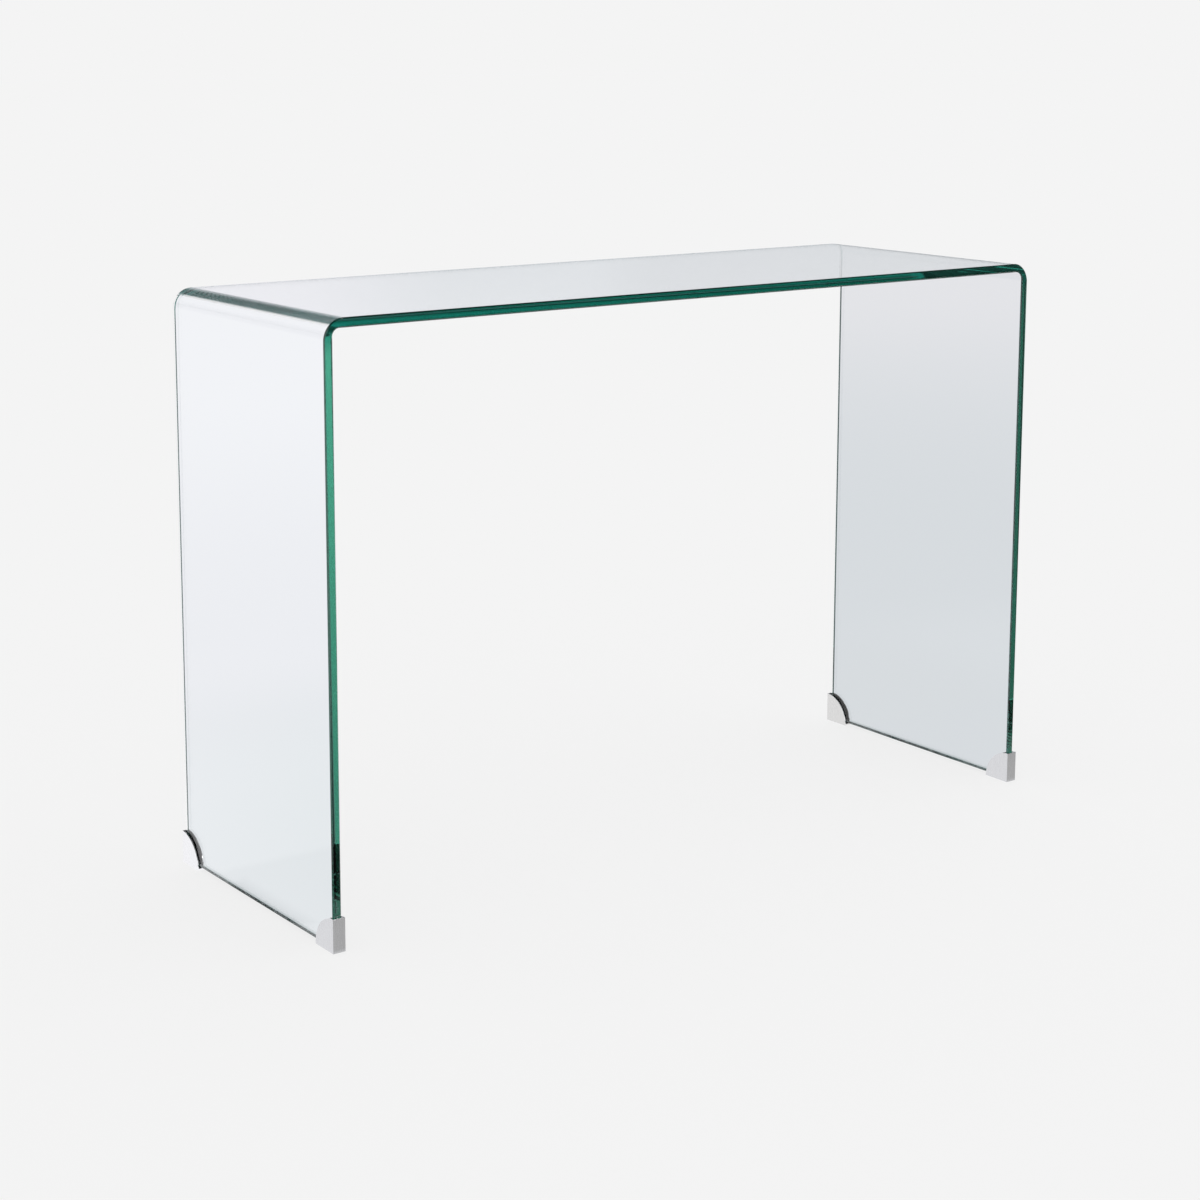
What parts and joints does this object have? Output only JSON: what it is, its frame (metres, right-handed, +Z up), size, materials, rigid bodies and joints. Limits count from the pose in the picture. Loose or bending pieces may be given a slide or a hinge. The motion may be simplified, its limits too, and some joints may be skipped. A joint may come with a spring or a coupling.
{
  "type": "console table",
  "caption": "Narrow console table of one bent sheet of clear glass, an upside-down U, held at its lower corners by polished steel foot caps.",
  "frame": {"origin": "on the floor, under the middle of the table", "axes": "+X along the table's length to the right leg, +Y to its back, +Z up"},
  "size_m": [1.148, 0.396, 0.762],
  "materials": {
    "clear_glass": "clear polished float glass with emerald green polished edges",
    "stainless_steel": "fine brushed faces with bright polished rims",
    "black_rubber": "matt black rubber",
    "grey_rubber": "matt dark grey rubber"
  },
  "bodies": {
    "root": {"bent_glass_sheet": "clear_glass", "foot_cap_front_left": "stainless_steel", "foot_cap_front_right": "stainless_steel", "foot_cap_back_left": "stainless_steel", "foot_cap_back_right": "stainless_steel", "glass_liner_front_left": "black_rubber", "glass_liner_front_right": "black_rubber", "glass_liner_back_left": "black_rubber", "glass_liner_back_right": "black_rubber", "floor_pad_front_left": "grey_rubber", "floor_pad_front_right": "grey_rubber", "floor_pad_back_left": "grey_rubber", "floor_pad_back_right": "grey_rubber"}
  },
  "joints": []
}
